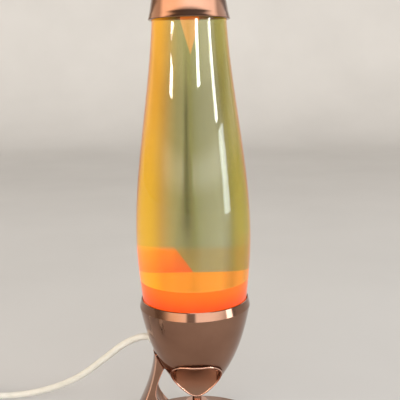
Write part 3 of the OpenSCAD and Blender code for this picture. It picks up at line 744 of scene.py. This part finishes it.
# Cap and bottle
def make_cap():
    lip_r = CAP_FOOT_R + CAP_LIP
    bore_r = CAP_FOOT_R - CAP_WALL
    top_r = CAP_TOP_R - CAP_ROUND
    shoulder_h = CAP_TOP_H - CAP_ROUND
    low = CAP_EDGE_H
    outline = [
        (bore_r, low + 0.0006), (bore_r + 0.0006, low), (lip_r - 0.0005, low),
        (lip_r - 0.0001, low + 0.0002), (lip_r, low + 0.0006),
        (lip_r - 0.0005, low + CAP_LIP_H * 0.45), (lip_r - 0.0010, low + CAP_LIP_H * 0.86),
    ]
    wall_low = (CAP_FOOT_R - 0.0002, low + CAP_LIP_H + 0.0005)
    wall_high = (CAP_TOP_R, shoulder_h)
    outline += [(wall_low[0] + (wall_high[0] - wall_low[0]) * i / 10,
                 wall_low[1] + (wall_high[1] - wall_low[1]) * i / 10) for i in range(10)]
    outline += arc(top_r, shoulder_h, CAP_ROUND, 0, 90, 12)
    outline += [
        (top_r * 0.5, CAP_TOP_H), (0, CAP_TOP_H), (0, CAP_TOP_H - CAP_WALL), (top_r, CAP_TOP_H - CAP_WALL),
        (CAP_TOP_R - CAP_WALL - 0.0004, shoulder_h), (bore_r, low + CAP_LIP_H), (bore_r, low + 0.0006),
    ]
    dress(turned("copper_cap", outline, degrees=28), "cap", "copper", COPPER, "crown_cap")


def make_bottle():
    outer = along(HEEL, BOTTLE_RIM, 14) + along(BOTTLE_RIM, BELLY, 18, 1)
    outer += along(BELLY, BOTTLE_TOP, 50, 1) + along(BOTTLE_TOP, NECK, 22, 1)
    punt_h = SEAT_H + PUNT_H
    floor_h = punt_h + GLASS_WALL
    neck_in = NECK_R - GLASS_WALL
    inner = inside_line(floor_h + 0.004, NECK[1], 90, GLASS_WALL)
    lip = arc((NECK_R + neck_in) / 2, NECK_TOP_H - GLASS_WALL / 2, GLASS_WALL / 2, 0, 180, 8)
    outline = [
        (0, punt_h), (PUNT_R - 0.006, punt_h), (PUNT_R - 0.002, punt_h - 0.002),
        (PUNT_R + 0.0005, SEAT_H + 0.0008), (PUNT_R + 0.0015, SEAT_H),
    ]
    outline += outer + lip + inner[::-1]
    outline += [(PUNT_R, floor_h), (0, floor_h)]
    dress(turned("glass_bottle", outline, degrees=40), "bottle", "bottle_glass", GLASS, "bottle_glass")
    # The fillings reach a hair into the glass, so that no film of air shows between them
    touch = GLASS_WALL - 0.00012
    overlap = 0.0002
    side = inside_line(WAX_H - overlap, LIQUID_H, 80, touch)
    brim = [(side[-1][0] * 0.6, LIQUID_H - 0.0006), (0, LIQUID_H - 0.0008)]
    outline = [(0, WAX_H - overlap)] + side + brim
    dress(turned("yellow_liquid", outline, degrees=40), "bottle", "liquid", LIQUID, "liquid")
    side = inside_line(WAX_LOW + 0.004, WAX_H, 24, touch)
    outline = [(0, WAX_LOW - overlap), (PUNT_R, WAX_LOW - overlap)] + side + [(0, WAX_H)]
    dress(turned("orange_wax", outline, degrees=40), "bottle", "wax", WAX, "wax")


# Pod with its scoop
def arch_depth(x, z, grow):
    """Distance of a front-view point inside the arch that bounds the scoop, negative outside."""
    half = SCOOP_HALF_W + grow
    top = SCOOP_TOP_H + grow
    corner = SCOOP_CORNER + grow
    side = abs(x) - (half - corner)
    rise = z - (top - corner)
    if side > 0 and rise > 0:
        return corner - math.hypot(side, rise)
    return corner - max(side, rise)


def scoop_back(x, z, grow):
    """Depth of the scoop's surface, with a fillet where it meets the arch's wall."""
    reach = SCOOP_R + grow
    drop = min(abs(z - SCOOP_H), reach)
    back = -SCOOP_OUT + math.sqrt(reach * reach - drop * drop)
    fillet = SCOOP_FILLET
    inside = min(max(arch_depth(x, z, grow), 0), fillet)
    return back - (fillet - math.sqrt(fillet * fillet - (fillet - inside) ** 2))


def scoop_cutter(name, grow):
    """A grid that is moved to the scoop's surface and extruded out through the pod's front."""
    deselect()
    columns, rows = 96, 84
    low_h, front = 0.020, -0.09
    bpy.ops.mesh.primitive_grid_add(x_subdivisions=columns, y_subdivisions=rows, size=2)
    piece = name_piece(name)
    half = SCOOP_HALF_W + grow
    top = SCOOP_TOP_H + grow
    corner = SCOOP_CORNER + grow
    for v in piece.data.vertices:
        z = low_h + (top - low_h) * (v.co.y + 1) / 2
        over = max(z - (top - corner), 0)
        wide = half - corner + math.sqrt(max(corner * corner - over * over, 0))
        x = v.co.x * wide
        v.co = (x, scoop_back(x, z, grow), z)
    edit(piece)
    bpy.ops.mesh.extrude_region_move(TRANSFORM_OT_translate={"value": (0, -0.001, 0)})
    done()
    for v in piece.data.vertices:
        if v.select:
            v.co.y = front
    edit(piece)
    bpy.ops.mesh.remove_doubles(threshold=MERGE)
    bpy.ops.mesh.normals_make_consistent(inside=False)
    done()
    return smooth(piece, 40)


def scoop_edge():
    """Points where the scoop's surface comes out of the pod's side, all the way round."""
    points = []
    count = 120
    for i in range(count):
        angle = math.radians(360 * i / count - 90)
        low, high = 0.0, 0.045
        for _ in range(40):
            reach = (low + high) / 2
            x = reach * math.cos(angle)
            z = SCOOP_MID_H + reach * math.sin(angle)
            r = pod_r(z) if z > POD_TIP_H else 0.0
            inside = abs(x) < r and arch_depth(x, z, 0) > 0
            inside = inside and scoop_back(x, z, 0) > -math.sqrt(r * r - x * x)
            low, high = (reach, high) if inside else (low, reach)
        x = low * math.cos(angle)
        z = SCOOP_MID_H + low * math.sin(angle)
        r = pod_r(max(z, POD_TIP_H))
        points.append(Vector((x, -math.sqrt(max(r * r - x * x, 0)), z)))
    return points


def on_scoop_face(point):
    """Whether a point of the pod is on the scoop's face, clear of its rounded border."""
    x, y, z = point
    inside = arch_depth(x, z, 0) > 0.9 * SCOOP_FILLET
    return inside and abs(y - scoop_back(x, z, 0)) < 0.0004


def make_pod():
    tip_r = pod_r(POD_TIP_H + TIP_ROUND)
    outline = [
        (0, POD_TIP_H), (tip_r - TIP_ROUND * 1.6, POD_TIP_H), (tip_r - TIP_ROUND * 0.7, POD_TIP_H + 0.0003),
        (tip_r - 0.0002, POD_TIP_H + TIP_ROUND * 0.7),
    ]
    outline += [p for p in along(POD_LOW, POD_WIDE, 70) if p[1] > POD_TIP_H + TIP_ROUND * 1.2]
    outline += [(RIM_EDGE_R + 0.0001, RIM_H - 0.0004), (RIM_EDGE_R - 0.0004, RIM_H), (0, RIM_H)]
    pod = turned("copper_pod", outline, degrees=20)
    floor_h = POD_TIP_H + POD_FLOOR
    over_rim_h = RIM_H + 0.01
    room = [(0, floor_h)]
    room += [(r - POD_INSIDE, z) for r, z in along(POD_LOW, POD_WIDE, 40) if floor_h < z < LEDGE_H]
    room += [(pod_r(LEDGE_H) - POD_INSIDE, LEDGE_H), (RIM_BORE_R, RIM_H)]
    room += [(RIM_BORE_R, over_rim_h), (0, over_rim_h)]
    hollow = cut(turned("pod_room", room), scoop_cutter("inner_scoop", POD_WALL))
    cut(pod, scoop_cutter("scoop", 0.0))
    cut(pod, hollow)
    smooth(pod, 24)
    pod.data.materials.append(COPPER)
    pod.data.materials.append(SATIN)
    for face in pod.data.polygons:
        face.material_index = int(on_scoop_face(face.center))
    dress(pod, "base", "copper", COPPER, "pod_shell")
    lip = round_line("scoop_lip", scoop_edge(), SCOOP_LIP_R, 3, closed=True)
    pick(lip)
    bpy.ops.object.convert(target="MESH")
    # The lip gets the bright copper of a painted highlight
    dress(smooth(lip, 60), "base", "copper", EDGE_HIGHLIGHT)


# Fin and foot
def make_fin():
    hair = 0.00015
    outer = along(FIN_TOE, (pod_r(FIN_TOP_H) + 0.0008, FIN_TOP_H, -0.03), 30)
    heights = [FIN_TOP_H - (FIN_TOP_H - FIN_INNER_TOP[1]) * i / 8 for i in range(9)]
    pod_side = [(pod_r(z) + hair, z) for z in heights if pod_r(z) + hair > FIN_INNER_TOP[0] - 0.002]
    inner = along(FIN_INNER_LOW, FIN_INNER_MID, 12) + along(FIN_INNER_MID, FIN_INNER_TOP, 12, 1)
    flare = [foot_point(i / 60) for i in range(61)]
    flare = [(r, z + hair) for r, z in flare if FIN_FOOT_R < r < FIN_TOE[0] - 0.0015]
    outer = [p for p in outer if p[1] > flare[0][1] + 0.0008]
    outline = outer + pod_side + inner[::-1] + flare[::-1]
    piece = start_line("tail_fin_blade", [(r, 0, z) for r, z in outline])
    bpy.ops.mesh.select_all(action="SELECT")
    bpy.ops.mesh.edge_face_add()
    done()
    piece.data.transform(Matrix.Rotation(math.pi + FIN_SPAN / 2, 4, "Z"))
    edit(piece)
    bpy.ops.mesh.spin(steps=24, angle=FIN_SPAN, center=(0, 0, 0), axis=(0, 0, 1))
    bpy.ops.mesh.select_all(action="SELECT")
    bpy.ops.mesh.remove_doubles(threshold=MERGE)
    bpy.ops.mesh.normals_make_consistent(inside=False)
    done()
    piece.data.materials.append(COPPER)
    # The rounded edges get the bright copper of painted highlights
    piece.data.materials.append(EDGE_HIGHLIGHT)
    bevelled(piece, FIN_EDGE, 4, 50, finish=1)
    dress(smooth(piece, 30), "base", "copper", COPPER, "tail_fin")


def make_foot():
    flare = [foot_point(i / 64) for i in range(65)]
    under = [foot_point(i / 40, FOOT_WALL) for i in range(3, 41)]
    outline = [
        (COVER_R, FOOT_LOW), (FOOT_R - 0.0006, FOOT_LOW), (FOOT_R, FOOT_LOW + 0.0005),
        (FOOT_R, FOOT_RIM_H - 0.0011), (FOOT_R - 0.0003, FOOT_RIM_H - 0.0004),
        (FOOT_R - 0.0010, FOOT_RIM_H - 0.00005),
    ]
    outline += flare + [(FOOT_BORE_R, FOOT_TOP_H), (FOOT_BORE_R, FOOT_TOP_H - 0.004)]
    outline += [p for p in under[::-1] if p[1] > COVER_TOP_H]
    outline += [(COVER_R, COVER_TOP_H), (COVER_R, FOOT_LOW)]
    dress(turned("copper_foot", outline, degrees=28), "base", "copper", COPPER, "foot_dome")


# Cord fittings
def make_grommet():
    """A soft sleeve with rounded lips that follows the cord out of the pod."""
    r = CORD_D / 2
    bore_r = r - 0.0002
    outline = [
        (bore_r, -GROMMET_IN), (r + 0.0005, -GROMMET_IN), (r + 0.0009, -0.002), (r + 0.0009, -0.0004),
        (r + 0.0017, 0.0000), (r + 0.0018, 0.0005), (r + 0.0014, 0.0012), (r + 0.0006, GROMMET_OUT),
        (bore_r, GROMMET_OUT), (bore_r, -GROMMET_IN),
    ]
    piece = turned("cord_sleeve", outline, 48, 50)
    place = Matrix.Translation((0, 0, EXIT_H)) @ Matrix.Rotation(math.pi - EXIT_TURN, 4, "Z")
    place = place @ Matrix.Rotation(math.pi / 2, 4, "Y") @ Matrix.Translation((0, 0, POD_EXIT_R))
    dress(settle(piece, place), "base", "grommet", IVORY, "cord_grommet")


def make_switch():
    pieces = []
    for name, node, low in (("switch_lower", "switch_base", True), ("switch_upper", "switch_cover", False)):
        piece = block(name, SWITCH_SIZE, SWITCH_CORNER, SWITCH_EDGE)
        edit(piece)
        seam = -SWITCH_SEAM / 2 if low else SWITCH_SEAM / 2
        bpy.ops.mesh.bisect(plane_co=(0, 0, seam), plane_no=(0, 0, 1), use_fill=True,
                            clear_outer=low, clear_inner=not low)
        done()
        if not low:
            deselect()
            bpy.ops.mesh.primitive_cube_add(size=1, scale=ROCKER_WINDOW, location=(0, 0, SWITCH_MID))
            cut(piece, name_piece("rocker_window"))
        bevelled(piece, 0.0004, 2, 60)
        settle(smooth(piece, 40), Matrix.Translation(SWITCH_AT + Vector((0, 0, SWITCH_MID))))
        pieces.append(dress(piece, "base", "switch", IVORY, node))
    for name, side in (("switch_relief_out", -1), ("switch_relief_in", 1)):
        relief = turned(name, relief_outline(), 40, 40)
        place = Matrix.Translation(SWITCH_AT + Vector((side * SWITCH_SIZE.x / 2, 0, SWITCH_MID)))
        settle(relief, place @ Matrix.Rotation(side * math.pi / 2, 4, "Y"))
        pieces.append(dress(relief, "base", "switch", IVORY))
    return pieces + [make_rocker()]


def relief_outline():
    """The strain relief at an end of the switch: four ridges that get smaller along the cord."""
    r = CORD_D / 2
    bore_r = r - 0.0001
    outline = [(bore_r, -0.002), (r + 0.0016, -0.002)]
    for k in range(4):
        z = 0.0018 * k
        ridge_r = r + 0.0016 - 0.0003 * k
        groove_r = r + 0.0009 - 0.0002 * k
        outline += [(ridge_r, z), (ridge_r, z + 0.001), (groove_r, z + 0.0012), (groove_r, z + 0.0016)]
    return outline + [(bore_r, 0.0072), (bore_r, -0.002)]


def make_rocker():
    """A rocker with two hollowed thumb faces, tilted as it rests."""
    deselect()
    bpy.ops.mesh.primitive_grid_add(x_subdivisions=32, y_subdivisions=12, size=1)
    piece = name_piece("switch_thumb")
    for v in piece.data.vertices:
        out = abs(v.co.x) * 2
        dip = ROCKER_DIP * math.sin(math.pi * min(out, 1)) * (1 - (2 * v.co.y) ** 2)
        v.co = (v.co.x * ROCKER_LEN, v.co.y * ROCKER_W, ROCKER_CROWN - 0.0006 * out - 0.4 * dip)
    edit(piece)
    bpy.ops.mesh.extrude_region_move(TRANSFORM_OT_translate={"value": (0, 0, -ROCKER_T)})
    bpy.ops.mesh.select_all(action="SELECT")
    bpy.ops.mesh.normals_make_consistent(inside=False)
    done()
    bevelled(piece, 0.0005, 3, 50)
    pivot = SWITCH_AT + Vector((0, 0, SWITCH_SIZE.z - 0.002))
    settle(smooth(piece, 40), Matrix.Translation(pivot) @ Matrix.Rotation(ROCKER_REST, 4, "Y"))
    return dress(piece, "rocker", "rocker", IVORY, "switch_rocker")


def make_plug():
    """A flat two-pin plug: tapered nose on the cord, ribbed sides and square face with round corners."""
    body = block("plug_moulding", (PLUG_LEN, PLUG_W, PLUG_T), PLUG_CORNER, PLUG_EDGE)
    edit(body)
    for k in range(1, 6):
        bpy.ops.mesh.select_all(action="SELECT")
        bpy.ops.mesh.bisect(plane_co=(PLUG_NOSE * k / 5 - PLUG_LEN / 2, 0, 0), plane_no=(1, 0, 0))
    done()
    for v in body.data.vertices:
        back = max(0.0, (-v.co.x - PLUG_LEN / 2 + PLUG_NOSE) / PLUG_NOSE)
        ease = back * back * (3 - 2 * back)
        v.co.y *= 1 - 0.64 * ease
        v.co.z *= 1 - 0.32 * ease
    pick(body)
    modifier = body.modifiers.new("rounding", "SUBSURF")
    modifier.levels = 1
    modifier.render_levels = 1
    bpy.ops.object.modifier_apply(modifier=modifier.name)
    half_w = max(v.co.y for v in body.data.vertices)
    settle(smooth(body, 60), Matrix.Translation(PLUG_AT + Vector((PLUG_LEN / 2, 0, 0))))
    pieces = [dress(body, "base", "plug", IVORY, "plug_body")]
    for side in (-1, 1):
        for k in range(4):
            rib = block("plug_rib_%d" % (len(pieces) - 1), PLUG_RIB, 0.0005, 0.0004, 2)
            at = Vector((RIBS_FROM + RIB_STEP * k, side * (half_w - 0.0003), 0))
            settle(rib, Matrix.Translation(PLUG_AT + at))
            pieces.append(dress(rib, "base", "plug", IVORY))
    for name, side in (("pin_sleeve_a", -1), ("pin_sleeve_b", 1)):
        outline = [(PIN_R, 0), (PIN_SLEEVE_R, 0), (PIN_SLEEVE_R, PIN_SLEEVE_LEN - 0.0002),
                   (PIN_R, PIN_SLEEVE_LEN), (PIN_R, 0)]
        sleeve = turned(name, outline, 32, 40)
        at = PLUG_AT + Vector((PLUG_LEN - 0.0005, side * PLUG_PITCH / 2, 0))
        settle(sleeve, Matrix.Translation(at) @ Matrix.Rotation(math.pi / 2, 4, "Y"))
        pieces.append(dress(sleeve, "base", "plug", BLACK))
    return pieces


def make_tie():
    """A woven strap round the coil's side."""
    low, high = (Vector(c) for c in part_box("coil_tie"))
    size = high - low
    room = 2 * STRAP_T
    tie = block("coil_strap", (size.x, size.z, size.y), 0.0042, 0.0003, 3)
    cut(tie, block("strap_room", (size.x - room, size.z - room, size.y * 2), 0.0036, 0.0001, 3))
    settle(smooth(tie, 40), Matrix.Translation((low + high) / 2) @ Matrix.Rotation(math.pi / 2, 4, "X"))
    return [dress(tie, "base", "tie", STRAP, "coil_tie")]


# Solids that keep their shape and only get a finish
KEPT = {
    "cap_pad": IVORY, "bottle_stopper": STEEL, "wax_coil": STEEL,
    "seat_ring": RUBBER, "bottle_ledge": STEEL, "holder_plate": STEEL, "plate_screws": STEEL,
    "bulb_holder": CERAMIC, "bulb_capsule": BULB, "bulb_pins": PLATED, "inner_leads": SLEEVE,
    "fin_screws": STEEL, "stud": STEEL, "stud_nuts": STEEL, "stud_collar": COPPER,
    "ballast_ring": IRON, "base_cover": BLACK, "cover_screws": STEEL, "foot_pad": FELT,
    "switch_screws": STEEL, "plug_pins": PLATED,
}


def dress_kept():
    for name, material in KEPT.items():
        mesh = nodes[name].data
        mesh.materials.clear()
        mesh.materials.append(material)


# Stage
SWEEP_NEAR = -3.0
SWEEP_LEN = 7.0
SWEEP_BACK = 3.2
SWEEP_CURVE = 0.9
SWEEP_HALF_W = 4


def make_stage():
    """A pale floor that curves up into a backdrop, all one sheet."""
    deselect()
    bpy.ops.mesh.primitive_grid_add(x_subdivisions=2, y_subdivisions=64, size=2)
    floor = name_piece("studio_sweep")
    flat = SWEEP_BACK - SWEEP_CURVE
    for v in floor.data.vertices:
        run = SWEEP_NEAR + (v.co.y + 1) / 2 * SWEEP_LEN
        past = max(run - flat, 0)
        angle = min(past / SWEEP_CURVE, math.pi / 2)
        rest = max(past - SWEEP_CURVE * math.pi / 2, 0)
        y = min(run, flat) + SWEEP_CURVE * math.sin(angle)
        v.co = (v.co.x * SWEEP_HALF_W, y, SWEEP_CURVE * (1 - math.cos(angle)) + rest)
    smooth(floor, 60)
    material, tree, shader = new_material("studio_floor")
    tone = ramp(tree, noise(tree, 3, 3), (0.60, 0.60, 0.59, 1), (0.64, 0.64, 0.63, 1))
    tree.links.new(tone, shader.inputs["Base Color"])
    shader.inputs["Roughness"].default_value = 0.7
    floor.data.materials.append(material)


# Light: levels of the room, of the bands in front and of what is seen directly
ROOM_LEVEL = 0.24
BAND_LEVEL = 3.0
LOW_BAND = 0.9
BETWEEN = 0.15
HIGH_BAND = 1.15
PANE_GAP = 0.12
BACK_GLOW = 0.10
BACK_SHARE = 0.34
PLAIN_LEVEL = 0.66
NEAR_WHITE = (1, 0.985, 0.97, 1)
WARM_SIDE = (1, 0.80, 0.60, 1)
COOL = (0.80, 0.91, 1)
AIM = Vector((0, 0, 0.2))


def softbox(name, at, size, power, tint=(1, 1, 1)):
    light = bpy.data.lights.new(name, "AREA")
    light.shape = "RECTANGLE"
    light.size, light.size_y = size
    light.energy = power
    light.color = tint
    lamp = bpy.data.objects.new(name, light)
    bpy.context.scene.collection.objects.link(lamp)
    turn = (AIM - Vector(at)).to_track_quat("-Z", "Y")
    lamp.matrix_world = Matrix.Translation(at) @ turn.to_matrix().to_4x4()


def make_light():
    """A dim room with two bright bands in front, the lower one in two panes, and boxes for the glass.

    Seen directly or through the glass, the room is plain and pale.
    """
    world = bpy.data.worlds.new("studio")
    bpy.context.scene.world = world
    world.use_nodes = True
    tree = world.node_tree
    background = tree.nodes["Background"]
    front = ramp(tree, spread(tree, "Generated", "Y", -0.2, 0.2), grey(1), grey(BACK_SHARE), 0.2, 0.8)
    height = spread(tree, "Generated", "Z", 0, 1)
    sideways = spread(tree, "Generated", "X", -1, 1)
    panes = stops(tree, sideways, level_stops(
        (0.02, 0.2), (0.10, 1), (0.335, 1), (0.375, PANE_GAP),
        (0.49, PANE_GAP), (0.53, 1), (0.98, 1), (1, 0.3)))
    low_band = stops(tree, height, level_stops(
        (0, 0.1), (0.07, LOW_BAND), (0.11, LOW_BAND), (0.16, BETWEEN), (0.25, BETWEEN), (0.30, 0)))
    high_band = stops(tree, height, level_stops(
        (0.25, 0), (0.30, HIGH_BAND), (0.50, HIGH_BAND), (0.56, 0)))
    bands = math_node(tree, "MULTIPLY_ADD", low_band, panes, high_band)
    room = math_node(tree, "MULTIPLY_ADD", front, -BACK_GLOW, ROOM_LEVEL + BACK_GLOW)
    level = math_node(tree, "MULTIPLY_ADD", both(tree, front, bands), BAND_LEVEL, room)
    path = add_node(tree, "ShaderNodeLightPath")
    plain = math_node(tree, "MAXIMUM", path.outputs["Is Camera Ray"], path.outputs["Is Transmission Ray"])
    tree.links.new(mixed(tree, plain, level, grey(PLAIN_LEVEL)), background.inputs["Strength"])
    tone = ramp(tree, sideways, WARM_SIDE, NEAR_WHITE, 0.2, 0.5)
    tree.links.new(mixed(tree, plain, tone, NEAR_WHITE), background.inputs["Color"])
    softbox("left_streak", (-0.96, -0.78, 0.58), (0.16, 0.04), 0.55)
    softbox("middle_streak", (-0.50, -1.20, 0.72), (0.26, 0.06), 1.2)
    softbox("right_streak", (0.50, -1.20, 0.645), (0.18, 0.05), 0.7)
    softbox("far_streak", (1.12, -0.55, 0.56), (0.14, 0.15), 1.4)
    softbox("cool_streak", (2.0, -0.61, 0.28), (0.50, 0.60), 6.0, COOL)
    softbox("overhead", (0.1, 0.1, 1.7), (0.9, 0.9), 6)
    bpy.context.scene.view_settings.view_transform = "Standard"


# The making: camera and cord first
place_camera()
cord, cord_length = make_cord()
make_cap()
make_bottle()
make_pod()
make_fin()
make_foot()
make_grommet()
switch_pieces = make_switch()
plug_pieces = make_plug()
tie_pieces = make_tie()
dress_kept()
make_stage()
make_light()
